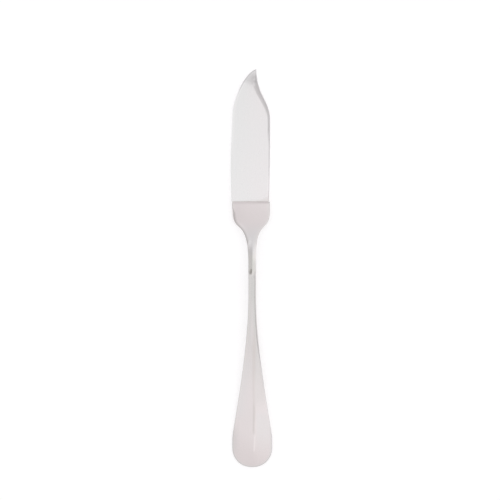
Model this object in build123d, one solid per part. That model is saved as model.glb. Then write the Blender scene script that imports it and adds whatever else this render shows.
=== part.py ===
from build123d import *
import os

# Table fish knife: a thin blade whose tongue is silver-soldered into a slot in a forged handle.
# Millimetres. +Y runs from the butt of the handle to the tip of the blade, +X towards the spine and +Z up
# from the table. The pieces are drawn with the butt at Y = 0 and the handle's centre line at X = 0, then
# moved together so that the origin is on the table under the middle of the knife.

# Handle seen from above, from the butt to the joint. An ease is the share of a curve's length over which its
# end would carry straight on.
BUTT_WIDTH = 20.0
BUTT_STRAIGHT = 3.8  # parallel sides between the round butt and the taper
TAPER_LENGTH = 73.0  # from the wide end to the slim stem
TAPER_WIDE_EASE = 0.08
TAPER_SLIM_EASE = 0.43
STEM_LENGTH = 19.3
STEM_WIDTH = 3.9
FLARE_LENGTH = 22.6  # from the stem out to the shoulder, towards the spine
FLARE_EDGE_LEAD = 6.1  # how much sooner the flare starts, towards the cutting edge
FLARE_EDGE_EASES = (0.94, 0.46)
FLARE_SPINE_EASES = (0.78, 0.5)
SHOULDER_LENGTH = 4.5  # parallel sides next to the joint
SHOULDER_EDGE_SIDE = 10.2  # reach of the shoulder from the centre line, towards the cutting edge
SHOULDER_SPINE_SIDE = 8.9

# Handle seen from the side
BUTT_THICKNESS = 2.3
STEM_THICKNESS = 3.6
SHOULDER_THICKNESS = 3.4
ARCH_HEIGHT = 2.2  # of the stem's underside above the table
CROWN_ALONG_STEM = 5.2  # highest point of the arch, from the slim end of the taper
BUTT_LAND = 28.0  # flat underside at the butt
SHOULDER_LAND = 12.0  # flat underside at the joint
FRONT_RISE_EASES = (0.3, 0.22)  # butt to crown
FRONT_FALL_EASES = (0.48, 0.29)  # crown to joint
UNDER_RISE_EASES = (0.22, 0.31)
UNDER_FALL_EASES = (0.34, 0.24)
SHOULDER_SLOPE = 0.05  # rise of the shoulder's front, away from the joint
RIDGE_OFFSET = 1.0  # of the front's ridge from the centre line, towards the spine
RIDGE_BUTT_DROP = 0.4  # fall from the ridge to the sides, at the butt
RIDGE_WIDE_DROP = 1.5  # in the wide part
RIDGE_SLIM_DROP = 1.1  # towards the stem, where the ridge runs out
FRONT_EDGE_ROUND = 0.7
BACK_EDGE_BEVEL = 0.5
EDGE_SHARE = 0.45  # most of the thinnest wall that one rounded or bevelled edge may take
STEP_BEVEL = 0.45  # round the shoulder's end, where it stands proud of the blade

# Neck, where the stem is pinched between two hollow facets
NECK_FROM_FLARE = 1.6  # deepest point, from the slim end of the flare
NECK_DEPTH = 0.6  # of the facets' shared ridge, below the crown
NECK_TILT = 20.0  # of each facet, in degrees
NECK_SWEEP = 42.0  # radius of each facet along the knife

# Blade seen from above
BLADE_LENGTH = 66.7
SPINE_STEP = 0.5  # how far the spine stands back from the shoulder, at the root
SPINE_BOW = 0.7  # how much further out the spine is at the clip than at the root
HEEL_OVERHANG = 0.3  # how far the cutting edge's heel stands proud of the shoulder
BULGE = 0.2  # how much fuller the cutting edge is at its fullest than at the heel
BULGE_FROM_ROOT = 18.7
BELLY_FALL = 0.6  # how much less full it is where the belly starts, than at the heel
BELLY_LENGTH = 21.8  # the curve from cutting edge to tip
BELLY_START_EASE = 0.29
BELLY_TIP_BACK = 1.7  # the belly's last control point, behind the tip
BELLY_TIP_ACROSS = 6.1  # and across from it
CLIP_LENGTH = 25.5  # the hollow run from the spine to the tip
CLIP_TIP_EASE = 0.52
CLIP_SPINE_EASE = 0.39
TIP_OFFSET = 2.2  # of the tip from the centre line, towards the spine

# Blade in section
SPINE_THICKNESS = 1.8
EDGE_THICKNESS = 0.9
SPINE_BEVEL_WIDTH = 1.4
SPINE_BEVEL_DEPTH = 0.45
EDGE_BEVEL_WIDTH = 0.5
EDGE_BEVEL_DEPTH = 0.25
POINT_LENGTH = 5.0  # thinned stretch at the tip
POINT_THICKNESS = 0.7

# Joint
TONGUE_LENGTH = 8.0
TONGUE_WIDTH = 9.0
TONGUE_THICKNESS = 1.0
TONGUE_CORNER = 2.5
SOLDER_GAP = 0.1
SOLDER_BEAD = 0.15
BEAD_FILL = 0.75  # 1 is a straight bead, less is a hollow one

TOUCH = 0.001  # closer than this counts as touching
UPRIGHT = 0.9  # a direction steeper than this counts as upright

TAPER_START = BUTT_WIDTH / 2 + BUTT_STRAIGHT
STEM_START = TAPER_START + TAPER_LENGTH
FLARE_START = STEM_START + STEM_LENGTH
SHOULDER_START = FLARE_START + FLARE_LENGTH
JOINT = SHOULDER_START + SHOULDER_LENGTH
CROWN = STEM_START + CROWN_ALONG_STEM
CROWN_TOP = ARCH_HEIGHT + STEM_THICKNESS
MIDDLE_HEIGHT = SHOULDER_THICKNESS / 2
BLADE_ROOT = JOINT + SOLDER_GAP
TIP = BLADE_ROOT + BLADE_LENGTH
SPINE_ROOT_REACH = SHOULDER_SPINE_SIDE - SPINE_STEP
SPINE_REACH = SPINE_ROOT_REACH + SPINE_BOW
HEEL_REACH = SHOULDER_EDGE_SIDE + HEEL_OVERHANG
BULGE_REACH = HEEL_REACH + BULGE
BELLY_REACH = HEEL_REACH - BELLY_FALL
BLADE_FACE_SLOPE = (SPINE_THICKNESS - EDGE_THICKNESS) / 2 / (SPINE_REACH + BULGE_REACH)


def eased(start, end, start_ease, end_ease):
    """A curve that leaves start, and reaches end, along the knife."""
    start, end = Vector(start), Vector(end)
    along = Vector(0, end.Y - start.Y, 0)
    return Bezier(start, start + along * start_ease, end - along * end_ease, end)


def handle_side(side, shoulder_reach, flare_start, flare_eases):
    """One side of the handle's plan, from the round butt to the joint. side is +1 or -1."""
    wide = side * BUTT_WIDTH / 2
    slim = side * STEM_WIDTH / 2
    shoulder = side * shoulder_reach
    return [
        Line((wide, BUTT_WIDTH / 2), (wide, TAPER_START)),
        eased((wide, TAPER_START), (slim, STEM_START), TAPER_WIDE_EASE, TAPER_SLIM_EASE),
        Line((slim, STEM_START), (slim, flare_start)),
        eased((slim, flare_start), (shoulder, SHOULDER_START), *flare_eases),
        Line((shoulder, SHOULDER_START), (shoulder, JOINT)),
    ]


def handle_plan():
    """The handle seen from above: round butt, long taper, slim stem and flared shoulder."""
    butt = CenterArc((0, BUTT_WIDTH / 2), BUTT_WIDTH / 2, 180, 180)
    end = Line((-SHOULDER_EDGE_SIDE, JOINT), (SHOULDER_SPINE_SIDE, JOINT))
    spine_side = handle_side(1, SHOULDER_SPINE_SIDE, FLARE_START, FLARE_SPINE_EASES)
    edge_side = handle_side(-1, SHOULDER_EDGE_SIDE, FLARE_START - FLARE_EDGE_LEAD, FLARE_EDGE_EASES)
    return make_face([butt] + spine_side + [end] + edge_side)


def handle_side_view(x, butt_drop, wide_drop, slim_drop):
    """The arched handle seen from the side, as a face at x. The drops lower its front from butt to crown."""
    land_start = JOINT - SHOULDER_LAND
    rise_start, rise_end = FRONT_RISE_EASES
    fall_start, fall_end = FRONT_FALL_EASES
    fall = JOINT - CROWN
    butt_front = (x, 0, BUTT_THICKNESS - butt_drop)
    crown_front = (x, CROWN, CROWN_TOP)
    joint_front = (x, JOINT, SHOULDER_THICKNESS)
    front_rise = Bezier(
        butt_front,
        (x, CROWN * rise_start, BUTT_THICKNESS - wide_drop),
        (x, CROWN * (1 - rise_end), CROWN_TOP - slim_drop),
        crown_front,
    )
    front_fall = Bezier(
        crown_front,
        (x, CROWN + fall * fall_start, CROWN_TOP),
        (x, JOINT - fall * fall_end, SHOULDER_THICKNESS + SHOULDER_SLOPE * fall * fall_end),
        joint_front,
    )
    return make_face(
        [
            Line((x, 0, 0), (x, BUTT_LAND, 0)),
            eased((x, BUTT_LAND, 0), (x, CROWN, ARCH_HEIGHT), *UNDER_RISE_EASES),
            eased((x, CROWN, ARCH_HEIGHT), (x, land_start, 0), *UNDER_FALL_EASES),
            Line((x, land_start, 0), (x, JOINT, 0)),
            Line((x, JOINT, 0), joint_front),
            front_fall,
            front_rise,
            Line(butt_front, (x, 0, 0)),
        ]
    )


def handle_blank():
    """The forged handle with sharp edges: its plan carried up through the ridged side view."""
    reach = max(BUTT_WIDTH / 2, SHOULDER_EDGE_SIDE, SHOULDER_SPINE_SIDE)
    drops = (RIDGE_BUTT_DROP, RIDGE_WIDE_DROP, RIDGE_SLIM_DROP)
    ridge = handle_side_view(RIDGE_OFFSET, 0, 0, 0)
    ridged = loft([handle_side_view(-reach, *drops), ridge, handle_side_view(reach, *drops)], ruled=True)
    return ridged & extrude(handle_plan(), amount=CROWN_TOP)


def side_edges(piece, side):
    """The long edges of the handle's upright walls, at the front (side 1) or the back (side -1)."""
    walls = [face for face in piece.faces() if abs(face.normal_at().Z) < TOUCH]
    pairs = [(wall.center().Z, edge) for wall in walls for edge in wall.edges()]
    edges = ShapeList(edge for middle, edge in pairs if side * (edge.center().Z - middle) > TOUCH)
    long_edges = edges.filter_by(lambda edge: abs(edge.tangent_at(0.5).Z) < UPRIGHT)
    return long_edges.filter_by_position(Axis.Y, -TOUCH, JOINT - TOUCH)


def joint_face(piece, y):
    """The piece's flat face across the joint, at y."""
    return piece.faces().filter_by(Axis.Y).filter_by_position(Axis.Y, y - TOUCH, y + TOUCH)[0]


def neck_facet(side):
    """A cylinder across the neck, tilted to one side, that leaves a hollow facet when it is cut away."""
    lowest = Pos(0, FLARE_START - NECK_FROM_FLARE, CROWN_TOP - NECK_DEPTH)
    across = Pos(0, 0, NECK_SWEEP) * Rot(0, 90, 0) * Cylinder(NECK_SWEEP, BUTT_WIDTH)
    return lowest * Rot(0, side * NECK_TILT, 0) * across


def tongue_block(grow, top):
    """The tongue up to y = top, grown all round by grow: the tongue itself, or the slot that takes it."""
    half = TONGUE_WIDTH / 2 + grow
    end = JOINT - TONGUE_LENGTH - grow
    corner = TONGUE_CORNER + grow
    plan = make_face(
        [
            Line((half, top), (half, end + corner)),
            CenterArc((half - corner, end + corner), corner, 0, -90),
            Line((half - corner, end), (corner - half, end)),
            CenterArc((corner - half, end + corner), corner, -90, -90),
            Line((-half, end + corner), (-half, top)),
            Line((-half, top), (half, top)),
        ]
    )
    thickness = TONGUE_THICKNESS + 2 * grow
    return Pos(0, 0, MIDDLE_HEIGHT - thickness / 2) * extrude(plan, amount=thickness)


def make_handle():
    """Forged handle: rounded in front, bevelled behind and at the joint, pinched at the neck and slotted."""
    blank = handle_blank()
    most = EDGE_SHARE * (BUTT_THICKNESS - RIDGE_BUTT_DROP)
    rounded = fillet(side_edges(blank, 1), min(FRONT_EDGE_ROUND, most))
    bevelled = chamfer(side_edges(rounded, -1), min(BACK_EDGE_BEVEL, most))
    stepped = chamfer(joint_face(bevelled, JOINT).edges(), STEP_BEVEL)
    return stepped - neck_facet(1) - neck_facet(-1) - tongue_block(SOLDER_GAP, JOINT)


def half_thickness(x):
    """Half of the blade's thickness at x: it tapers evenly from the spine to the cutting edge."""
    return SPINE_THICKNESS / 2 - BLADE_FACE_SLOPE * (SPINE_REACH - x)


def blade_plan():
    """The blade seen from above: full cutting edge and belly, opposite a bowed spine and hollow clip."""
    tip = (TIP_OFFSET, TIP)
    heel = (-HEEL_REACH, BLADE_ROOT)
    belly_start = (-BELLY_REACH, TIP - BELLY_LENGTH)
    clip_start = (SPINE_REACH, TIP - CLIP_LENGTH)
    root_end = (SPINE_ROOT_REACH, BLADE_ROOT)
    cutting_edge = ThreePointArc(heel, (-BULGE_REACH, BLADE_ROOT + BULGE_FROM_ROOT), belly_start)
    belly = Bezier(
        belly_start,
        cutting_edge @ 1 + (cutting_edge % 1) * (BELLY_START_EASE * BELLY_LENGTH),
        (TIP_OFFSET - BELLY_TIP_ACROSS, TIP - BELLY_TIP_BACK),
        tip,
    )
    clip = eased(tip, clip_start, CLIP_TIP_EASE, CLIP_SPINE_EASE)
    spine = TangentArc(clip_start, root_end, tangent=(0, -1))
    return make_face([cutting_edge, belly, clip, spine, Line(root_end, heel)])


def blade_blank():
    """The blade with sharp edges: its plan, as thick as its even taper from spine to cutting edge."""
    left = -max(HEEL_REACH, BULGE_REACH, BELLY_REACH) - EDGE_THICKNESS
    corners = [(left, -1), (SPINE_REACH, -1), (SPINE_REACH, 1), (left, 1)]
    points = [(x, BLADE_ROOT, MIDDLE_HEIGHT + side * half_thickness(x)) for x, side in corners]
    section = make_face(Polyline(*points, close=True))
    taper = extrude(section, amount=BLADE_LENGTH, dir=(0, 1, 0))
    return taper & extrude(blade_plan(), amount=SHOULDER_THICKNESS)


def point_taper():
    """A block round the blade that thins evenly over the last stretch to the tip, as seen from the side."""
    left = -max(HEEL_REACH, BULGE_REACH, BELLY_REACH) - EDGE_THICKNESS
    full = SPINE_THICKNESS / 2
    point = POINT_THICKNESS / 2
    fall = (half_thickness(TIP_OFFSET) - point) / POINT_LENGTH
    upper = [(BLADE_ROOT, full), (TIP - (full - point) / fall, full), (TIP, point)]
    lower = [(y, -half) for y, half in reversed(upper)]
    points = [(left, y, MIDDLE_HEIGHT + half) for y, half in upper + lower]
    return extrude(make_face(Polyline(*points, close=True)), amount=SPINE_REACH - left, dir=(1, 0, 0))


def blade_flat(blade, side):
    """The flat back (side 0) or front (side -1) of the blade, which are its two largest faces."""
    return blade.faces().sort_by(SortBy.AREA)[-2:].sort_by(Axis.Z)[side]


def make_blade():
    """Blade: bevelled along the spine and clip and along the cutting edge, thinned at the point, tongued."""
    blade = blade_blank()
    for side in (0, -1):
        flat = blade_flat(blade, side)
        spine_and_clip = flat.edges().sort_by(Axis.X)[-2:]
        blade = chamfer(spine_and_clip, SPINE_BEVEL_WIDTH, SPINE_BEVEL_DEPTH, reference=flat)
        flat = blade_flat(blade, side)
        edge_and_belly = flat.edges().sort_by(Axis.X)[:2]
        blade = chamfer(edge_and_belly, EDGE_BEVEL_WIDTH, EDGE_BEVEL_DEPTH, reference=flat)
    return (blade & point_taper()) + tongue_block(0, BLADE_ROOT)


def solder_bead(side):
    """The hollow bead in the corner between one face of the blade and the shoulder's end."""
    left = -min(HEEL_REACH - EDGE_BEVEL_WIDTH, SHOULDER_EDGE_SIDE - STEP_BEVEL)
    right = min(SPINE_ROOT_REACH - SPINE_BEVEL_WIDTH, SHOULDER_SPINE_SIDE - STEP_BEVEL)
    corner = Vector(left, JOINT, MIDDLE_HEIGHT + side * half_thickness(left))
    upper = corner + (0, 0, side * SOLDER_BEAD)
    lower = corner + (0, SOLDER_GAP + SOLDER_BEAD, 0)
    hollow = ThreePointArc(upper, corner + (upper + lower - corner * 2) * BEAD_FILL / 2, lower)
    section = make_face([Line(corner, upper), hollow, Line(lower, corner)])
    run = Vector(right - left, 0, side * BLADE_FACE_SLOPE * (right - left))
    return extrude(section, amount=run.length, dir=run.normalized())


def make_solder(handle, blade):
    """Silver solder: a film round the tongue and across the joint, with a bead front and back."""
    film = tongue_block(SOLDER_GAP, BLADE_ROOT) - tongue_block(0, BLADE_ROOT)
    root = Pos(0, -SOLDER_GAP, 0) * joint_face(blade, BLADE_ROOT)
    contact = root & joint_face(handle, JOINT)
    return film + extrude(contact, amount=SOLDER_GAP, dir=(0, 1, 0)) + solder_bead(1) + solder_bead(-1)


handle = make_handle()
blade = make_blade()
knife = {"handle": handle, "blade": blade, "silver_solder": make_solder(handle, blade)}

box = Compound(list(knife.values())).bounding_box()
to_origin = Pos(-box.center().X, -box.center().Y, -box.min.Z)
os.makedirs("parts", exist_ok=True)
for name, piece in knife.items():
    export_step(to_origin * piece, f"parts/{name}.step")
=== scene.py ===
import math

import bpy
import numpy as np
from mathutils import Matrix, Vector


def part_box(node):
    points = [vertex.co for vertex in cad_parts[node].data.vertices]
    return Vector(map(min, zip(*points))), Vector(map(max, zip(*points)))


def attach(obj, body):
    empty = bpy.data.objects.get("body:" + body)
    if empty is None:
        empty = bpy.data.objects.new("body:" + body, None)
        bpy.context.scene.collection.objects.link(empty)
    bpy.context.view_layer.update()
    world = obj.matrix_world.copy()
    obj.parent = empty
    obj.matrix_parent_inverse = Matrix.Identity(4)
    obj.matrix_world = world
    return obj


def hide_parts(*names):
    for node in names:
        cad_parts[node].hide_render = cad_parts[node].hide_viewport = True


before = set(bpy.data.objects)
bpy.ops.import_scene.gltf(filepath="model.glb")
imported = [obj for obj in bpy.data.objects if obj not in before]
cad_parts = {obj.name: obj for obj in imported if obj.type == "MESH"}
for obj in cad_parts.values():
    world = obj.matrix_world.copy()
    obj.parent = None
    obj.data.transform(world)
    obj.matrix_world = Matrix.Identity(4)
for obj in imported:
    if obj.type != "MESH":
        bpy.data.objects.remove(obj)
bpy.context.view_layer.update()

# Handle: forged in one piece in nickel silver, silver-plated and polished. A ridged grip narrows to an arched
# stem with a pinched neck and a small punched oval, then flares to the shoulder that holds the blade.
# Sizes are in millimetres, along the knife from the butt's end and across it from the handle's centre line.
KNIFE_LENGTH = 200.0
BUTT_WIDTH = 20.0
BUTT_RADIUS = BUTT_WIDTH / 2
BUTT_POWER = 2.15  # 2 is a half circle, more is a blunter butt
TAPER_START, STEM_START, JOINT = 13.8, 86.8, 133.2
STEM_HALF_WIDTH = 1.95
TAPER_EASES = (0.08, 0.43)
EDGE_SIDE_FLARE = (100.3, 129.0, 10.18, (0.94, 0.46))  # start, end, reach and eases, towards the cutting edge
SPINE_SIDE_FLARE = (106.4, 128.7, 8.9, (0.8, 0.5))
BUTT_THICKNESS, STEM_THICKNESS, SHOULDER_THICKNESS = 2.3, 3.6, 3.4
ARCH_HEIGHT = 2.2  # of the stem's underside above the table
CROWN = 92.0  # highest place of the arch
CROWN_TOP = ARCH_HEIGHT + STEM_THICKNESS
BUTT_LAND, SHOULDER_LAND = 28.0, 12.0  # flat underside at the butt and at the joint
RISE_EASES, FALL_EASES = (0.3, 0.22), (0.48, 0.29)
UNDER_RISE_EASES, UNDER_FALL_EASES = (0.22, 0.31), (0.34, 0.24)
SHOULDER_SLOPE = 0.05  # of the shoulder's front, rising from the joint towards the stem
RIDGE_SHIFT = 0.1  # of the ridge towards the spine, as a share of the half-width
RIDGE_DROPS = (0.3, 1.5, 1.1)  # fall from ridge to sides: at the butt, in the wide part, towards the stem
RIDGE_SOFTNESS = 0.35
# Rounded edges of the front, at places along the handle: their widths, and depths as shares of the width
EDGE_SIDE_ROUNDS = ((45, 0.2), (75, 0.35), (96, 0.4), (111, 2.2), (127, 2.2), (131, 0.35))
EDGE_SIDE_DEPTHS = ((96, 1.0), (109, 0.6), (114, 0.42), (120, 0.45), (126, 0.62), (131, 1.0))
SPINE_SIDE_ROUNDS = ((45, 0.25), (66, 1.3), (96, 1.3), (109, 0.35))
BACK_ROUND = 0.5
BUTT_CROWN, BUTT_CROWN_WIDTH, BUTT_CROWN_ALONG = 0.5, 12.0, ((12, 1), (30, 0))
SHOULDER_CROWN, SHOULDER_HALF_WIDTH, SHOULDER_CROWN_ALONG = 0.6, 9.5, ((98, 0), (110, 1))
STEP_LENGTHS, STEP_DEPTHS = (1.8, 1.3), (0.07, 0.1)  # shoulder's eased end: edge's side, spine's side
NECK_ACROSS = 0.1  # the two facets of the neck meet here, and slope away from it
NECK_EDGE_SLOPE, NECK_SPINE_SLOPE = math.tan(math.radians(20)), math.tan(math.radians(21.7))
NECK_EDGE_ALONG = ((96.3, 0), (99.3, 1), (108, 1), (115, 0))
NECK_SPINE_ALONG = ((94.5, 0), (99.5, 1), (102, 1), (113, 0))
MARK, MARK_ACROSS = 98.35, -0.7  # centre of the punched oval
MARK_HALF_LENGTH, MARK_HALF_WIDTH, MARK_DEPTH = 1.8, 0.75, 0.15
BUTT_STATIONS, GRIP_STATIONS, NECK_STATIONS, STEP_STATIONS = 44, 160, 170, 6
HALF_COLUMNS = 36
CURVE_SAMPLES = 4001
CREASE = math.radians(40)  # a sharper edge than this is shaded as one

millimetre = 0.001
handle_low, handle_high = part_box("handle")
axis_x = handle_high.x - BUTT_RADIUS * millimetre
butt_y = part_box("blade")[1].y - KNIFE_LENGTH * millimetre
table_z = handle_low.z


def curve(along, points):
    """Height of a cubic Bezier curve at each place along the knife: the curve with the given control points,
    (along, height), is sampled finely by its own parameter and read off at those places."""
    share = np.linspace(0, 1, CURVE_SAMPLES)[:, None]
    rest = 1 - share
    start, leaving, arriving, end = np.asarray(points, float)
    path = start * rest**3 + 3 * leaving * share * rest**2 + 3 * arriving * share**2 * rest + end * share**3
    return np.interp(along, path[:, 0], path[:, 1])


def eased(along, start, end, eases):
    """A curve from start to end, (along, height), that is level at both ends. The eases are the shares of its
    length over which each end would carry straight on."""
    run = end[0] - start[0]
    first = (start[0] + eases[0] * run, start[1])
    second = (end[0] - eases[1] * run, end[1])
    return curve(along, [start, first, second, end])


def blended(along, *knots):
    """A value along the knife that passes through each knot, (place, value), and is level there: smooth steps
    from knot to knot, added up."""
    value = knots[0][1]
    for (start, before), (end, after) in zip(knots, knots[1:]):
        share = np.clip((along - start) / (end - start), 0, 1)
        value = value + (after - before) * share**2 * (3 - 2 * share)
    return value


def crowded(count):
    """Shares from 0 to 1 in that many steps, which crowd at both ends: half of one less a cosine."""
    return (1 - np.cos(np.linspace(0, np.pi, count + 1))) / 2


def outline(along, flare_start, flare_end, shoulder_reach, flare_eases):
    """Half-width of the handle: half a superellipse at the butt, an eased taper to the stem and an eased
    flare to the shoulder."""
    to_centre = BUTT_RADIUS - np.minimum(along, BUTT_RADIUS)
    butt = (BUTT_RADIUS**BUTT_POWER - to_centre**BUTT_POWER) ** (1 / BUTT_POWER)
    taper = eased(along, (TAPER_START, BUTT_RADIUS), (STEM_START, STEM_HALF_WIDTH), TAPER_EASES)
    flare = eased(along, (flare_start, STEM_HALF_WIDTH), (flare_end, shoulder_reach), flare_eases)
    return np.where(along < BUTT_RADIUS, butt, np.where(along < flare_start, taper, flare))


def front_height(along, drops):
    """Height of the front: one Bezier curve from the butt up to the crown and one down to the joint. The
    drops lower the first one's control points."""
    butt_drop, wide_drop, slim_drop = drops
    rise = [
        (0, BUTT_THICKNESS - butt_drop),
        (CROWN * RISE_EASES[0], BUTT_THICKNESS - wide_drop),
        (CROWN * (1 - RISE_EASES[1]), CROWN_TOP - slim_drop),
        (CROWN, CROWN_TOP),
    ]
    length = JOINT - CROWN
    last = FALL_EASES[1] * length
    fall = [
        (CROWN, CROWN_TOP),
        (CROWN + FALL_EASES[0] * length, CROWN_TOP),
        (JOINT - last, SHOULDER_THICKNESS + SHOULDER_SLOPE * last),
        (JOINT, SHOULDER_THICKNESS),
    ]
    return np.where(along < CROWN, curve(along, rise), curve(along, fall))


def back_height(along):
    """Height of the underside: flat at the butt and at the joint, and arched between them."""
    rise = eased(along, (BUTT_LAND, 0), (CROWN, ARCH_HEIGHT), UNDER_RISE_EASES)
    fall = eased(along, (CROWN, ARCH_HEIGHT), (JOINT - SHOULDER_LAND, 0), UNDER_FALL_EASES)
    return np.where(along < CROWN, rise, fall)


def rounding(inset, radius):
    """Drop of a quarter-round edge at a distance inside the outline: all of the radius at the rim, and
    nothing further in than the radius."""
    return radius - np.sqrt(radius**2 - (radius - np.clip(inset, 0, radius)) ** 2)


def handle_sheets():
    """Front and back of the handle on one grid of stations along it and columns across it, which crowd at
    both rims and at the ridge, with each place's distance from the outline and from the ridge, and its share
    of the mark's depth. The front falls evenly to both sides of a softened ridge, less crowns that grow as a
    square, quarter-round edges and the mark, and the two slopes of the neck cut it where they are lower. The
    back is arched, with a quarter-round edge."""
    turn = np.linspace(0, np.pi / 2, BUTT_STATIONS + 1)[1:]
    along = np.concatenate(
        [
            BUTT_RADIUS * (1 - np.cos(turn)),
            np.linspace(BUTT_RADIUS, CROWN, GRIP_STATIONS + 1)[1:],
            np.linspace(CROWN, JOINT - max(STEP_LENGTHS), NECK_STATIONS + 1)[1:],
            np.linspace(JOINT - max(STEP_LENGTHS), JOINT, STEP_STATIONS + 1)[1:],
        ]
    )
    left = outline(along, *EDGE_SIDE_FLARE)
    right = outline(along, *SPINE_SIDE_FLARE)
    left_steepness = np.hypot(1, np.gradient(left, along))[:, None]
    right_steepness = np.hypot(1, np.gradient(right, along))[:, None]
    along = along[:, None]
    end = max(STEP_DEPTHS) * np.maximum(1 - (JOINT - along) / min(STEP_LENGTHS), 0) ** 2
    left, right = left[:, None] - end, right[:, None] - end
    ridge = RIDGE_SHIFT * np.minimum(left, right)

    share = crowded(HALF_COLUMNS)
    x = np.concatenate([-left + (ridge + left) * share, ridge + (right - ridge) * share[1:]], axis=1)
    y = np.broadcast_to(along, x.shape)
    to_centre = np.maximum(BUTT_RADIUS - y, 0)
    from_centre = (np.abs(x) ** BUTT_POWER + to_centre**BUTT_POWER) ** (1 / BUTT_POWER)
    to_side = np.minimum((x + left) / left_steepness, (right - x) / right_steepness)
    inset = np.maximum(np.where(y < BUTT_RADIUS, BUTT_RADIUS - from_centre, to_side), 0)

    crest = front_height(along, (0, 0, 0))
    side = front_height(along, RIDGE_DROPS)
    from_ridge = x - ridge
    off_ridge = np.hypot(from_ridge, RIDGE_SOFTNESS) - RIDGE_SOFTNESS
    edge_round = rounding(inset, blended(along, *EDGE_SIDE_ROUNDS)) * blended(along, *EDGE_SIDE_DEPTHS)
    spine_round = rounding(inset, blended(along, *SPINE_SIDE_ROUNDS))
    butt_crown = BUTT_CROWN * np.maximum(1 - inset / BUTT_CROWN_WIDTH, 0) ** 2
    butt_crown = butt_crown * blended(along, *BUTT_CROWN_ALONG)
    off_middle = (x - (right - left) / 2) / SHOULDER_HALF_WIDTH
    shoulder_crown = SHOULDER_CROWN * off_middle**2 * blended(along, *SHOULDER_CROWN_ALONG)
    step_length = np.interp(off_middle, (-1, 1), STEP_LENGTHS)
    step_depth = np.interp(off_middle, (-1, 1), STEP_DEPTHS)
    step = step_depth * np.maximum(1 - (JOINT - along) / step_length, 0) ** 2
    crowned = crest - (crest - side) * off_ridge / BUTT_RADIUS - butt_crown - shoulder_crown
    ridged = crowned - np.where(from_ridge < 0, edge_round, spine_round)
    edge_pinch = NECK_EDGE_SLOPE * blended(along, *NECK_EDGE_ALONG)
    spine_pinch = NECK_SPINE_SLOPE * blended(along, *NECK_SPINE_ALONG)
    neck = crowned - np.where(x < NECK_ACROSS, edge_pinch, spine_pinch) * np.abs(x - NECK_ACROSS)
    reach = np.hypot((y - MARK) / MARK_HALF_LENGTH, (x - MARK_ACROSS) / MARK_HALF_WIDTH)
    mark = np.maximum(1 - reach**2, 0) ** 2
    front = np.minimum(ridged, neck) - MARK_DEPTH * mark - step
    back = back_height(along) + rounding(inset, BACK_ROUND) + end
    return np.stack([x, y, front], -1), np.stack([x, y, back], -1), inset, from_ridge, mark


def skin(name, front, back, tones, front_tones):
    """A closed mesh from a front and a back sheet of points in millimetres: each station's loop runs over the
    front and returns under the back, and a ladder of faces between them closes the first and last stations.
    The tones are values at the points, the same on both sheets. The front's own tones are 0 on the back."""
    stations, columns = front.shape[:2]
    points = np.concatenate([front, back[:, ::-1]], axis=1).reshape(-1, 3) * millimetre
    points += (axis_x, butt_y, table_z)
    index = np.arange(stations * 2 * columns).reshape(stations, 2 * columns)
    beside = np.roll(index, -1, axis=1)
    sides = np.stack([index[:-1], beside[:-1], beside[1:], index[1:]], -1).reshape(-1, 4)
    upper, lower = index[:, :columns], index[:, :columns - 1 : -1]
    first = np.stack([upper[0, :-1], lower[0, :-1], lower[0, 1:], upper[0, 1:]], -1)
    last = np.stack([upper[-1, :-1], upper[-1, 1:], lower[-1, 1:], lower[-1, :-1]], -1)
    mesh = bpy.data.meshes.new(name)
    mesh.from_pydata(points.tolist(), [], np.concatenate([sides, first, last]).tolist())
    for tone, values in (tones | front_tones).items():
        under = values[:, ::-1] * (tone in tones)
        both = np.concatenate([values, under], axis=1).astype(np.float32)
        mesh.attributes.new(tone, "FLOAT", "POINT").data.foreach_set("value", both.ravel())
    mesh.shade_smooth()
    mesh.set_sharp_from_angle(angle=CREASE)
    piece = bpy.data.objects.new(name, mesh)
    bpy.context.scene.collection.objects.link(piece)
    return piece


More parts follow.
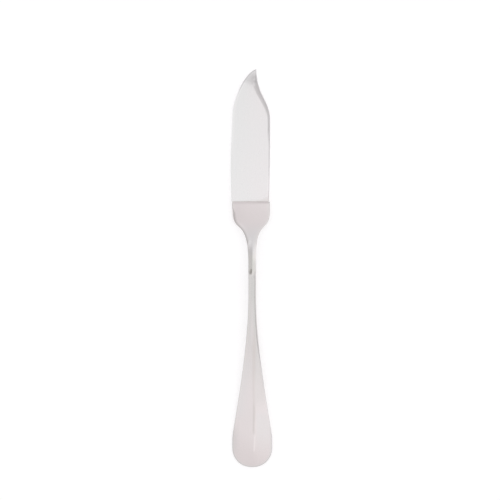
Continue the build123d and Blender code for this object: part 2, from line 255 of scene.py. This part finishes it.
class Field:
    """A value, colour or vector over a surface: a node's output socket, with arithmetic as Math nodes."""

    def __init__(self, tree, socket=None):
        self.tree, self.socket = tree, socket

    def node(self, kind, settings=None, inputs=None, output=0):
        """Adds a node with its settings, then its sockets' values or links, and gives one of its outputs."""
        made = self.tree.nodes.new(kind)
        for name, value in (settings or {}).items():
            setattr(made, name, value)
        for name, value in (inputs or {}).items():
            if isinstance(value, Field):
                self.tree.links.new(value.socket, made.inputs[name])
            else:
                made.inputs[name].default_value = value
        return Field(self.tree, made.outputs[output] if len(made.outputs) else None)

    def math(self, operation, *values):
        """A Math node on these values, in their order."""
        return self.node("ShaderNodeMath", {"operation": operation}, dict(enumerate(values)))

    def __add__(self, other):
        return self.math("ADD", self, other)

    def __sub__(self, other):
        return self.math("SUBTRACT", self, other)

    def __rsub__(self, other):
        return self.math("SUBTRACT", other, self)

    def __mul__(self, other):
        return self.math("MULTIPLY", self, other)

    __radd__, __rmul__ = __add__, __mul__

    def ramp(self, low, high):
        """0 below low, 1 above high and a smooth rise between them."""
        limits = {"Value": self, "From Min": low, "From Max": high}
        return self.node("ShaderNodeMapRange", {"interpolation_type": "SMOOTHSTEP"}, limits)

    def tint(self, plain, tinted):
        """A colour that goes from plain to tinted as this value goes from 0 to 1."""
        inputs = {0: self, 6: plain, 7: tinted}
        return self.node("ShaderNodeMix", {"data_type": "RGBA"}, inputs, output=2)

    def noise(self, across, along, turn=0.0, detail=2.0):
        """Noise in this object's coordinates, in cells of those sizes in millimetres, turned in the plan."""
        scale = (1 / across / millimetre, 1 / along / millimetre, 1 / across / millimetre)
        turned = self.node("ShaderNodeMapping", {}, {"Vector": self, "Rotation": (0, 0, turn)})
        placed = self.node("ShaderNodeMapping", {}, {"Vector": turned, "Scale": scale})
        return self.node("ShaderNodeTexNoise", {}, {"Vector": placed, "Scale": 1.0, "Detail": detail})

    def tone(self, name):
        """A value that the mesh carries at its points."""
        return self.node("ShaderNodeAttribute", {"attribute_name": name}, output="Fac")


BUMP_STRENGTH, BUMP_DISTANCE = 0.08, 0.02 * millimetre


def metal(name, build):
    """A polished metal whose colour, roughness and height over the surface come from build(coordinates)."""
    material = bpy.data.materials.new(name)
    material.use_nodes = True
    tree = material.node_tree
    tree.nodes.clear()
    start = Field(tree)
    coordinates = start.node("ShaderNodeTexCoord", output="Object")
    colour, roughness, height = build(coordinates)
    bump = {"Strength": BUMP_STRENGTH, "Distance": BUMP_DISTANCE, "Height": height}
    normal = start.node("ShaderNodeBump", {}, bump)
    inputs = {"Base Color": colour, "Metallic": 1.0, "Roughness": roughness, "Normal": normal}
    shader = start.node("ShaderNodeBsdfPrincipled", {}, inputs)
    start.node("ShaderNodeOutputMaterial", {}, {"Surface": shader})
    return material


def wheel_lines(at, coarse, fine):
    """Lines left by a wheel: long thin noise in coarse and fine cells, (across, along, share), added up."""
    return at.noise(*coarse[:2]) * coarse[2] + at.noise(*fine[:2]) * fine[2]


SCRATCH_CELL, SCRATCH_TURNS, SCRATCH_CRESTS = (0.16, 9.0), (0.3, -0.45, 1.1), (0.66, 0.8)


def hairlines(at):
    """Fine scratches of use: the crests of long thin noise, turned to a few directions and added up."""
    lines = [at.noise(*SCRATCH_CELL, turn).ramp(*SCRATCH_CRESTS) for turn in SCRATCH_TURNS]
    return sum(lines[1:], lines[0])


# Colours of the plate, and how much each thing on it shows in the colour, the roughness and the height
HANDLE_SILVER = (0.815, 0.752, 0.757, 1)
HANDLE_COOL = (0.785, 0.752, 0.757, 1)
# grey of the stem, which also gives the painted shade on the spine's side of the grip and stem
STEM_GREY_AND_SHADE = (0.64, 0.628, 0.618, 1)
NECK_PALE = (0.75, 0.736, 0.708, 1)
RIDGE_WORN = (0.66, 0.613, 0.6, 1)
# painted glint on the ridge near the butt
RIDGE_GLINT = (0.85, 0.795, 0.795, 1)
# darker towards the butt's end
BUTT_DARKER = (0.735, 0.672, 0.674, 1)
# painted shade along the handle's rims
RIM_SHADE = (0.66, 0.635, 0.635, 1)
FLARE_COOL = (0.74, 0.72, 0.727, 1)
EDGE_WORN = (0.8, 0.775, 0.765, 1)
HANDLE_SCUFFED = (0.62, 0.6, 0.58, 1)
TARNISH, TARNISH_RISE = (0.5, 0.48, 0.45, 1), (0.0, 0.4)
POLISH_COARSE, POLISH_FINE = (0.35, 40.0, 0.6), (0.12, 14.0, 0.4)
CLOUD_CELL, CLOUD_RISE = (14.0, 22.0), (0.35, 0.7)
CLOUD_TINT, STEM_TINT, EDGE_TINT = 0.1, 0.9, 0.8
RIDGE_TINT, RIDGE_CLOUD_TINT = 0.6, 0.3
POLISH_TINT, SCRATCH_TINT = 0.05, 0.04
HANDLE_ROUGHNESS, POLISH_ROUGHNESS, SCRATCH_ROUGHNESS = 0.19, 0.1, 0.05
MARK_ROUGHNESS, EDGE_SMOOTHNESS = 0.25, 0.05
POLISH_HEIGHT, SCRATCH_DEPTH = 0.5, 0.3


def handle_silver(at):
    """Warm silver plate: polishing lines along the handle, cool patches and clouds, a grey stem, a worn ridge
    and edges, a darker tone towards the butt's end and tarnish in the mark, with painted shade along the rims
    and on the spine's side of the grip and stem, a painted highlight down the stem's middle and a painted
    glint on the ridge near the butt."""
    polish = wheel_lines(at, POLISH_COARSE, POLISH_FINE)
    clouds = at.noise(*CLOUD_CELL).ramp(*CLOUD_RISE)
    scratches = hairlines(at)
    edge, mark = at.tone("edge"), at.tone("mark")
    cooled = at.tone("cool").tint(HANDLE_SILVER, HANDLE_COOL)
    # the stem's grey, with painted shade on the spine's side and a painted highlight down the stem's middle
    plated = (clouds * CLOUD_TINT + at.tone("stem") * STEM_TINT).tint(cooled, STEM_GREY_AND_SHADE)
    flared = at.tone("flare").tint(plated, FLARE_COOL)
    necked = at.tone("neck").tint(flared, NECK_PALE)
    ridged = (at.tone("ridge") * (RIDGE_TINT + clouds * RIDGE_CLOUD_TINT)).tint(necked, RIDGE_WORN)
    # darker towards the butt's end
    handled = at.tone("butt").tint(ridged, BUTT_DARKER)
    # painted glint on the ridge near the butt
    bright = at.tone("glint").tint(handled, RIDGE_GLINT)
    worn = (edge * EDGE_TINT).tint(bright, EDGE_WORN)
    # painted shade along the rims
    rimmed = at.tone("rim").tint(worn, RIM_SHADE)
    scuffed = (polish * POLISH_TINT + scratches * SCRATCH_TINT).tint(rimmed, HANDLE_SCUFFED)
    colour = mark.ramp(*TARNISH_RISE).tint(scuffed, TARNISH)
    lined = HANDLE_ROUGHNESS + polish * POLISH_ROUGHNESS + scratches * SCRATCH_ROUGHNESS
    roughness = lined + mark * MARK_ROUGHNESS - edge * EDGE_SMOOTHNESS
    height = polish * POLISH_HEIGHT - scratches * SCRATCH_DEPTH
    return colour, roughness, height


# Where those tones lie: their strength at places along the handle, and their distance and width across it
WORN_EDGE_WIDTHS = ((96, 0.5), (112, 1.1))
# Painted shade along the rims: at the butt's end, on the edge's side near the butt and on the spine's side of
# the grip
BUTT_RIM_WIDTH, BUTT_RIM_ALONG = 0.7, ((14, 0.9), (24, 0))
EDGE_RIM_WIDTH, EDGE_RIM_ALONG = 2.2, ((5, 0), (10, 0.6), (14, 0.6), (24, 0))
SPINE_RIM_WIDTH, SPINE_RIM_ALONG = 1.0, ((34, 0), (44, 0.7), (62, 0.7), (72, 0))
STEM_TONE_ALONG = ((32, 0), (86, 1), (95.5, 1), (99, 0))
# painted shade on the spine's side of the grip and stem, and a painted highlight down the stem's middle
SPINE_SHADE_ACROSS = ((0.2, 0), (1.0, 1))
SPINE_SHADE_ALONG = ((27, 0), (36, 0.33), (46, 0.33), (62, 0.22), (86, 0.2), (95.5, 0))
STEM_HIGHLIGHT_ACROSS, STEM_HIGHLIGHT_WIDTH = -0.45, 0.7
STEM_HIGHLIGHT_ALONG = ((60, 0), (66, 0.25), (80, 0.25), (88, 0))
NECK_TONE_ALONG = ((95.5, 0), (99, 1), (104, 1), (110, 0))
FLARE_TONE_ALONG = ((104, 0), (108, 1), (114, 1), (124, 0))
# darker towards the butt's end
BUTT_TONE_ALONG = ((3, 1), (22, 0))
COOL_EDGE_WIDTH, COOL_EDGE_ALONG = 4.0, ((22, 0), (29, 0.9), (50, 0.9), (58, 0))
COOL_SPINE_ACROSS, COOL_SPINE_ALONG = ((0.5, 0), (2.0, 0.7)), ((4, 0), (9, 1), (24, 1), (31, 0))
RIDGE_LINE_PLACES, RIDGE_LINE_ACROSS = (20, 28, 40, 68), (-0.25, 0.15, 0.1, 0.8)
RIDGE_LINE_WIDTHS = ((20, 0.6), (40, 0.7), (60, 1.0))
RIDGE_LINE_ALONG = ((15.5, 0), (18, 0.9), (30, 0.9), (34, 0.6), (42, 0.75), (47, 0.9), (58, 1.1), (75, 0))
# painted glint on the ridge near the butt
GLINT_PLACES, GLINT_ACROSS, GLINT_WIDTH = (9, 16), (-0.1, 0.4), 0.45
GLINT_ALONG = ((7, 0), (9, 0.6), (15, 0.6), (17, 0))


def band(distance, width):
    """A soft band: a bell curve that is 1 at no distance and about a third at that width."""
    return np.exp(-((distance / width) ** 2))


def handle_tones(place, inset, from_ridge, mark):
    """Strength of each tone of the plate at the handle's points: soft bands along the outline and the ridge,
    times smooth steps along the knife. The first tones are on the front and the back, the second on the front
    alone."""
    edge_side, spine_side = from_ridge < 0, from_ridge > 0
    # painted shade along the rims
    rims = [
        band(inset, BUTT_RIM_WIDTH) * blended(place, *BUTT_RIM_ALONG),
        band(inset, EDGE_RIM_WIDTH) * edge_side * blended(place, *EDGE_RIM_ALONG),
        band(inset, SPINE_RIM_WIDTH) * spine_side * blended(place, *SPINE_RIM_ALONG),
    ]
    stem = blended(place, *STEM_TONE_ALONG)
    # painted shade on the spine's side
    stem += blended(from_ridge, *SPINE_SHADE_ACROSS) * blended(place, *SPINE_SHADE_ALONG)
    # painted highlight down the stem's middle: less of the grey there
    stem -= band(from_ridge - STEM_HIGHLIGHT_ACROSS, STEM_HIGHLIGHT_WIDTH) * blended(place, *STEM_HIGHLIGHT_ALONG)
    cool = band(inset, COOL_EDGE_WIDTH) * edge_side * blended(place, *COOL_EDGE_ALONG)
    cool += blended(from_ridge, *COOL_SPINE_ACROSS) * blended(place, *COOL_SPINE_ALONG)
    off_line = from_ridge - np.interp(place, RIDGE_LINE_PLACES, RIDGE_LINE_ACROSS)
    off_glint = from_ridge - np.interp(place, GLINT_PLACES, GLINT_ACROSS)
    both_sides = {
        "edge": band(inset, blended(place, *WORN_EDGE_WIDTHS)),
        "rim": np.maximum.reduce(rims),
        "stem": stem,
        "neck": blended(place, *NECK_TONE_ALONG),
        "flare": blended(place, *FLARE_TONE_ALONG),
        "butt": blended(place, *BUTT_TONE_ALONG),
        "cool": cool,
    }
    front_only = {
        "ridge": band(off_line, blended(place, *RIDGE_LINE_WIDTHS)) * blended(place, *RIDGE_LINE_ALONG),
        "glint": band(off_glint, GLINT_WIDTH) * blended(place, *GLINT_ALONG),
        "mark": mark,
    }
    return both_sides, front_only


front, back, inset, from_ridge, mark = handle_sheets()
handle = skin("handle_silver", front, back, *handle_tones(front[..., 1], inset, from_ridge, mark))
handle.data.materials.append(metal("handle_silver", handle_silver))
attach(handle, "root")
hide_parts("handle")

# Blade: rolled silver-plated steel, ground thin towards the cutting edge, bevelled along the spine and the
# hollow clip, and hollowed at the point. Its tongue is out of sight in the handle's slot.
BLADE_ROOT, BLADE_TIP = 133.3, KNIFE_LENGTH
BLADE_LENGTH = BLADE_TIP - BLADE_ROOT
BLADE_MIDDLE = SHOULDER_THICKNESS / 2
EDGE_PLACES = (BLADE_ROOT, 152.0, 178.2)  # heel, fullest point and start of the belly
EDGE_REACHES = (-10.45, -10.68, -9.88)
BELLY_EASE = 6.3
BELLY_LAST = (198.3, -3.9)
SPINE_ROOT_REACH, SPINE_REACH, CLIP_START = 8.4, 9.1, 174.5
CLIP_EASES = (0.39, 0.52)
TIP_ACROSS = 2.2
SPINE_HALF, EDGE_HALF = 0.9, 0.45  # half of the blade's thickness
POINT_START, POINT_LENGTH, POINT_DEPTH = 191.0, 9.0, 1.0  # hollow of the point, where it meets the clip
POINT_SLANT, POINT_SOFTNESS, POINT_CURVE = 0.5, 1.5, 1.9
POINT_LEAN = 0.05  # the hollow is shallower by this share for each millimetre from the tip to the edge's side
# painted shade of the point, darkest by the spine
POINT_SHADE_RISE = 2.0  # 2 makes the point's shade full half-way into the hollow
POINT_SHADE_WIDTH, POINT_SHADE_ALONG = 4.0, ((191, 0.6), (193, 1), (195, 1), (198, 0.33))
EDGE_BEVEL_WIDTH = 0.5
EDGE_BEVEL_DEPTHS = ((187, 0.03), (193, 0.16))
SPINE_BEVEL_WIDTHS = ((166, 1.1), (171, 1.5), (184, 2.4), (191, 2.9))
SPINE_BEVEL_WIDTHS += ((194, 2.2), (196, 1.2), (198, 0.6), (199.5, 0.5))
SPINE_BEVEL_DEPTHS = ((145, 0.42), (160, 0.5), (166, 0.63), (171, 0.85), (184, 1.0), (191, 1.25))
SPINE_BEVEL_DEPTHS += ((194, 1.0), (196, 0.65), (198, 0.42), (199.5, 0.38))
SPINE_BEVEL_CURVE = 1.35  # 1 is a plane bevel, more is one that rounds over towards the rim
EDGE_BEVEL_MOST, SPINE_BEVEL_MOST = 0.3, 0.5  # shares of the width that the bevels' columns may take
EDGE_RIM_ROUND, SPINE_RIM_ROUND = 0.05, 0.3
BACK_GRIND = 0.5  # of the front's bevels, on the back
BLADE_LEAST = 0.1  # thickness left at the rims
BLADE_STATIONS, FACE_COLUMNS, BEVEL_COLUMNS = 300, 30, 14
LAST_STATION = 0.999  # share of a quarter turn, just short of the tip, where the blade has no width


def blade_sheets():
    """Front and back of the blade on a grid of stations, which crowd at the tip, and columns from the cutting
    edge to the spine, with each place's distance from the outline, its share of the way to the spine and the
    shade of the point there. The cutting edge and the spine are parabolas, and the belly and the clip are
    Bezier curves. The faces slope evenly from spine to edge, with bevels along both rims, and a slanting
    hollow, a power curve in section, thins the point."""
    turn = np.linspace(0, LAST_STATION * np.pi / 2, BLADE_STATIONS)
    along = BLADE_ROOT + BLADE_LENGTH * np.sin(turn)
    arc = np.polyfit(EDGE_PLACES, EDGE_REACHES, 2)
    belly_place, belly_reach = EDGE_PLACES[2], EDGE_REACHES[2]
    belly_slope = np.polyval(np.polyder(arc), belly_place)
    belly_first = (belly_place + BELLY_EASE, belly_reach + BELLY_EASE * belly_slope)
    belly = curve(along, [(belly_place, belly_reach), belly_first, BELLY_LAST, (BLADE_TIP, TIP_ACROSS)])
    edge = np.where(along < belly_place, np.polyval(arc, along), belly)
    clip = eased(along, (CLIP_START, SPINE_REACH), (BLADE_TIP, TIP_ACROSS), CLIP_EASES)
    to_clip = np.maximum(CLIP_START - along, 0) / (CLIP_START - BLADE_ROOT)
    spine = clip - (SPINE_REACH - SPINE_ROOT_REACH) * to_clip**2
    edge_steepness = np.hypot(1, np.gradient(edge, along))[:, None]
    spine_steepness = np.hypot(1, np.gradient(spine, along))[:, None]
    along, edge, spine = along[:, None], edge[:, None], spine[:, None]

    width = spine - edge
    spine_bevel_width = blended(along, *SPINE_BEVEL_WIDTHS)
    edge_bevel = np.minimum(EDGE_BEVEL_WIDTH * edge_steepness, EDGE_BEVEL_MOST * width)
    spine_bevel = np.minimum(spine_bevel_width * spine_steepness, SPINE_BEVEL_MOST * width)
    x = np.concatenate(
        [
            edge + edge_bevel * crowded(BEVEL_COLUMNS),
            edge + edge_bevel + (width - edge_bevel - spine_bevel) * crowded(FACE_COLUMNS)[1:-1],
            spine - spine_bevel * (1 - crowded(BEVEL_COLUMNS)),
        ],
        axis=1,
    )
    y = np.broadcast_to(along, x.shape)
    from_edge = np.maximum(x - edge, 0) / edge_steepness
    from_spine = np.maximum(spine - x, 0) / spine_steepness

    slope = (SPINE_HALF - EDGE_HALF) / (SPINE_REACH - min(EDGE_REACHES))
    flat = SPINE_HALF - slope * (SPINE_REACH - x)
    past_start = y - POINT_START + POINT_SLANT * (x - TIP_ACROSS)
    into_point = (past_start + np.hypot(past_start, POINT_SOFTNESS)) / 2 / POINT_LENGTH
    point_drop = POINT_DEPTH * (1 - (1 - np.minimum(into_point, 1)) ** POINT_CURVE)
    point_drop = point_drop * np.clip(1 + POINT_LEAN * (x - TIP_ACROSS), 0, 1)
    into_bevel = np.maximum(1 - from_spine / spine_bevel_width, 0)
    spine_drop = blended(along, *SPINE_BEVEL_DEPTHS) * into_bevel**SPINE_BEVEL_CURVE
    edge_drop = blended(along, *EDGE_BEVEL_DEPTHS) * np.maximum(1 - from_edge / EDGE_BEVEL_WIDTH, 0)
    ground = point_drop + spine_drop + edge_drop
    rims = rounding(from_edge, EDGE_RIM_ROUND) + rounding(from_spine, SPINE_RIM_ROUND)
    above = np.maximum(flat - ground - rims, BLADE_LEAST - flat)
    below = np.maximum(flat - BACK_GRIND * ground - rims, BLADE_LEAST - above)
    front = np.stack([x, y, BLADE_MIDDLE + above], -1)
    back = np.stack([x, y, BLADE_MIDDLE - below], -1)
    shade = np.clip(POINT_SHADE_RISE * into_point, 0, 1) * np.maximum(1 - from_spine / POINT_SHADE_WIDTH, 0)
    shade = shade * blended(along, *POINT_SHADE_ALONG)
    return front, back, np.minimum(from_edge, from_spine), (x - edge) / width, shade


BLADE_SILVER = (0.856, 0.854, 0.855, 1)
BLADE_WARM = (0.884, 0.846, 0.854, 1)
# painted shade at the point and in a line inside the spine's rim
PAINTED_SHADE_GREY = (0.6, 0.59, 0.595, 1)
# painted highlight along the blade's rims
RIM_HIGHLIGHT = (0.98, 0.97, 0.975, 1)
BLADE_SCUFFED = (0.66, 0.65, 0.65, 1)
# stain along the blade's root, with painted shade by the joint
ROOT_STAIN_AND_SHADE = (0.66, 0.61, 0.57, 1)
GRIND_COARSE, GRIND_FINE = (0.22, 55.0, 0.5), (0.09, 18.0, 0.5)
WARM_CELL, WARM_RISE = (16.0, 30.0), (0.4, 0.7)
WARM_TINT, WARM_SPINE_TINT, ROOT_TINT = 0.3, 0.7, 0.3
GRIND_TINT, BLADE_SCRATCH_TINT = 0.04, 0.03
BLADE_ROUGHNESS, GRIND_ROUGHNESS, BLADE_SCRATCH_ROUGHNESS = 0.256, 0.028, 0.03
ROOT_ROUGHNESS, BLADE_EDGE_SMOOTHNESS = 0.1, 0.06
GRIND_HEIGHT, BLADE_SCRATCH_DEPTH = 0.2, 0.2


def blade_silver(at):
    """Bright silver plate: fine grinding lines along the blade, faint warm clouds and scratches, painted
    highlights along the rims, painted shade at the point and in a line inside the spine's rim, and a stain at
    the root with painted shade by the joint."""
    grind = wheel_lines(at, GRIND_COARSE, GRIND_FINE)
    clouds = at.noise(*WARM_CELL).ramp(*WARM_RISE)
    scratches = hairlines(at)
    edge, root = at.tone("edge"), at.tone("root")
    plated = (clouds * WARM_TINT + at.tone("spine") * WARM_SPINE_TINT).tint(BLADE_SILVER, BLADE_WARM)
    # painted shade at the point and in a line inside the spine's rim
    ground = at.tone("ground").tint(plated, PAINTED_SHADE_GREY)
    # painted highlights along the rims, which are also smoother
    bright = edge.tint(ground, RIM_HIGHLIGHT)
    scuffed = (grind * GRIND_TINT + scratches * BLADE_SCRATCH_TINT).tint(bright, BLADE_SCUFFED)
    # stain along the root, with painted shade by the joint
    colour = (root * ROOT_TINT).tint(scuffed, ROOT_STAIN_AND_SHADE)
    lined = BLADE_ROUGHNESS + grind * GRIND_ROUGHNESS + scratches * BLADE_SCRATCH_ROUGHNESS
    roughness = lined + root * ROOT_ROUGHNESS - edge * BLADE_EDGE_SMOOTHNESS
    height = grind * GRIND_HEIGHT - scratches * BLADE_SCRATCH_DEPTH
    return colour, roughness, height


# painted highlights along the cutting edge and the spine's rim
EDGE_HIGHLIGHT_WIDTH, EDGE_HIGHLIGHT_ALONG = 0.5, ((154, 0.1), (168, 1))
SPINE_HIGHLIGHT_WIDTH, SPINE_HIGHLIGHT_ALONG = 0.3, ((143, 0), (149, 0.9), (168, 1))
# painted dark line inside the spine's rim
SPINE_LINE_PLACES, SPINE_LINE_INSETS, SPINE_LINE_WIDTH = (162, 168), (0.55, 1.05), 0.45
SPINE_LINE_ALONG = ((143, 0), (149, 0.33), (162, 0.38), (169, 0.6), (174, 0.45), (180, 0.35), (186, 0))
# The root's stain also carries painted shade by the joint: stronger towards the spine, widest in the corner
# at the spine
STAIN_WIDTH, STAIN_WIDENING = 0.4, 0.5  # of the root's stain, at the cutting edge and from there to the spine
STAIN_CORNER, STAIN_CORNER_POWER = 2.0, 8  # more width, in the corner at the spine
STAIN_LEAST = 0.3  # strength of the stain at the cutting edge


def blade_tones(place, inset, spine, shade):
    """Strength of each tone of the plate at the blade's points: painted highlights along the rims, a painted
    dark line inside the spine's rim with the painted shade of the point, and a stain at the root with painted
    shade that widens towards the spine."""
    spine_side = spine > 0.5
    edge_highlight = np.exp(-inset / EDGE_HIGHLIGHT_WIDTH) * blended(place, *EDGE_HIGHLIGHT_ALONG)
    spine_highlight = band(inset, SPINE_HIGHLIGHT_WIDTH) * spine_side * blended(place, *SPINE_HIGHLIGHT_ALONG)
    off_line = inset - np.interp(place, SPINE_LINE_PLACES, SPINE_LINE_INSETS)
    line = band(off_line, SPINE_LINE_WIDTH) * spine_side * blended(place, *SPINE_LINE_ALONG)
    stain_width = STAIN_WIDTH + STAIN_WIDENING * spine + STAIN_CORNER * spine**STAIN_CORNER_POWER
    stain = band(place - BLADE_ROOT, stain_width) * (STAIN_LEAST + (1 - STAIN_LEAST) * spine)
    return {
        "edge": np.maximum(edge_highlight, spine_highlight),
        "root": stain,
        "spine": spine,
        "ground": shade + line,
    }


front, back, inset, spine, shade = blade_sheets()
root_front, root_back = front[0], back[0]
blade = skin("blade_silver", front, back, blade_tones(front[..., 1], inset, spine, shade), {})
blade.data.materials.append(metal("blade_silver", blade_silver))
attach(blade, "root")
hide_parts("blade")

# Silver solder: a thin film round the tongue and across the joint, drawn into a fine hollow bead along the
# front and the back of the blade's root. It is left as it set, duller and browner than the plate.
SEAM_REACHES = (-9.9, 8.3)
SEAM_BEAD, SEAM_THIN = 0.14, 0.2  # height of the bead, and the share of it left at the cutting edge
SEAM_STATIONS, SEAM_COLUMNS = 8, 90


def seam_sheets(root_front, root_back):
    """Front and back of the solder: the blade's root section carried along the knife across the joint, raised
    by a bead whose height falls off as a square beyond the joint, thins towards the cutting edge and fades
    out at both rims."""
    x = np.linspace(*SEAM_REACHES, SEAM_COLUMNS)
    beyond = np.linspace(0, 1, SEAM_STATIONS)
    along = np.concatenate([[JOINT], BLADE_ROOT + SEAM_BEAD * beyond])
    fade = np.clip(np.minimum(x - x[0], x[-1] - x) / SEAM_BEAD, 0, 1)
    fade = fade * np.linspace(SEAM_THIN, 1, SEAM_COLUMNS)
    bead = SEAM_BEAD * np.concatenate([[1], (1 - beyond) ** 2])[:, None] * fade
    y = np.broadcast_to(along[:, None], bead.shape)
    x = np.broadcast_to(x, bead.shape)
    front = np.stack([x, y, np.interp(x, root_front[:, 0], root_front[:, 2]) + bead], -1)
    back = np.stack([x, y, np.interp(x, root_back[:, 0], root_back[:, 2]) - bead], -1)
    return front, back


SOLDER_GREY = (0.84, 0.81, 0.79, 1)
SOLDER_BROWN = (0.74, 0.69, 0.65, 1)
GRAIN_CELL, GRAIN_DETAIL = (0.12, 0.12), 4.0
FLUX_CELL, FLUX_RISE = (3.0, 3.0), (0.4, 0.65)
FLUX_TINT, GRAIN_TINT = 0.7, 0.2
SOLDER_ROUGHNESS, GRAIN_ROUGHNESS = 0.34, 0.2


def dull_solder(at):
    """Dull solder: fine grain, with brown flux stains in patches along the joint."""
    grain = at.noise(*GRAIN_CELL, detail=GRAIN_DETAIL)
    stains = at.noise(*FLUX_CELL).ramp(*FLUX_RISE)
    colour = (stains * FLUX_TINT + grain * GRAIN_TINT).tint(SOLDER_GREY, SOLDER_BROWN)
    return colour, SOLDER_ROUGHNESS + grain * GRAIN_ROUGHNESS, grain


solder = skin("solder_seam", *seam_sheets(root_front, root_back), {}, {})
solder.data.materials.append(metal("dull_solder", dull_solder))
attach(solder, "root")
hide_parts("silver_solder")

# Table: a plain white sheet under the knife. It looks white to the camera and in the metal's reflections, and
# keeps the knife's soft shadow.
TABLE_HALF = 3000.0
TABLE_DROP = 0.05  # below the knife, so that the two don't share a plane
TABLE_WHITE, TABLE_ROUGHNESS = (0.7, 0.7, 0.7, 1), 0.9
TABLE_LIFT = (0.52, 0.515, 0.52, 1)  # what the sheet's own shading lacks to white
NO_LIFT = (0, 0, 0, 1)
LIFTED_RAYS = ("Is Camera Ray", "Is Glossy Ray", "Is Transmission Ray")

corners = np.array([(-1, -1), (1, -1), (1, 1), (-1, 1)]) * TABLE_HALF * millimetre
sheet = bpy.data.meshes.new("table")
sheet.from_pydata([(x, y, table_z - TABLE_DROP * millimetre) for x, y in corners], [], [(0, 1, 2, 3)])
table = bpy.data.objects.new("table", sheet)
bpy.context.scene.collection.objects.link(table)
paper = bpy.data.materials.new("table_white")
paper.use_nodes = True
paper.node_tree.nodes.clear()
start = Field(paper.node_tree)
rays = [start.node("ShaderNodeLightPath", output=name) for name in LIFTED_RAYS]
lift = sum(rays[1:], rays[0]).tint(NO_LIFT, TABLE_LIFT)
settings = {
    "Base Color": TABLE_WHITE,
    "Roughness": TABLE_ROUGHNESS,
    "Emission Color": lift,
    "Emission Strength": 1.0,
}
shader = start.node("ShaderNodeBsdfPrincipled", {}, settings)
start.node("ShaderNodeOutputMaterial", {}, {"Surface": shader})
sheet.materials.append(paper)

# Studio: one broad soft panel overhead, set a little to the spine's side and towards the butt, inside dimmer
# walls that run white into the table at their foot. The camera sees plain white past the table's end. Each
# ramp runs over one part of a direction: across the knife, ahead to its tip, or upward.
PANEL = (0.99, 0.99, 0.99, 1)
PANEL_BRIGHT, BRIGHT_RAMP = (1.08, 1.08, 1.08, 1), (-0.4, 0.5)  # its spine side
PANEL_EDGE_RAMP, PANEL_SPINE_RAMP = (-0.95, -0.15), (0.62, 0.92)
PANEL_BUTT_RAMP, PANEL_TIP_RAMP = (-0.7, -0.2), (-0.03, 0.55)
WALL_TOP, WALL_TOP_RAMP = (0.6, 0.59, 0.595, 1), (0.4, 0.75)
WALL_MIDDLE, WALL_MIDDLE_RAMP = (0.54, 0.531, 0.535, 1), (0.02, 0.34)
WALL_FOOT = (0.97, 0.965, 0.967, 1)
WHITE = (1, 1, 1, 1)

world = bpy.data.worlds.new("studio")
bpy.context.scene.world = world
world.use_nodes = True
world.node_tree.nodes.clear()
start = Field(world.node_tree)
direction = start.node("ShaderNodeTexCoord", output="Generated")
across, ahead, upward = (
    start.node("ShaderNodeSeparateXYZ", {}, {"Vector": direction}, output=axis) for axis in ("X", "Y", "Z")
)
lower_walls = upward.ramp(*WALL_MIDDLE_RAMP).tint(WALL_FOOT, WALL_MIDDLE)
walls = upward.ramp(*WALL_TOP_RAMP).tint(lower_walls, WALL_TOP)
panel_across = across.ramp(*PANEL_EDGE_RAMP) * (1 - across.ramp(*PANEL_SPINE_RAMP))
panel = panel_across * ahead.ramp(*PANEL_BUTT_RAMP) * (1 - ahead.ramp(*PANEL_TIP_RAMP))
studio = panel.tint(walls, across.ramp(*BRIGHT_RAMP).tint(PANEL, PANEL_BRIGHT))
seen = start.node("ShaderNodeLightPath", output="Is Camera Ray").tint(studio, WHITE)
light = start.node("ShaderNodeBackground", {}, {"Color": seen, "Strength": 1.0})
start.node("ShaderNodeOutputWorld", {}, {"Surface": light})

# Camera: straight above the knife on a long lens, with the butt at the bottom of the picture and the tip at
# the top. The picture's width and its centre are those of a plane at about the height of the knife's front.
PICTURE_WIDTH = 250.8
PICTURE_CENTRE = (-1.13, 109.04)
PICTURE_PLANE = 2.5  # height of that plane
LENS, SENSOR = 100.0, 36.0

camera_data = bpy.data.cameras.new("camera")
camera_data.lens, camera_data.sensor_width = LENS, SENSOR
camera = bpy.data.objects.new("camera", camera_data)
bpy.context.scene.collection.objects.link(camera)
camera.location = (
    axis_x + PICTURE_CENTRE[0] * millimetre,
    butt_y + PICTURE_CENTRE[1] * millimetre,
    table_z + (PICTURE_PLANE + PICTURE_WIDTH * LENS / SENSOR) * millimetre,
)
bpy.context.scene.camera = camera
bpy.context.scene.view_settings.view_transform = "Standard"
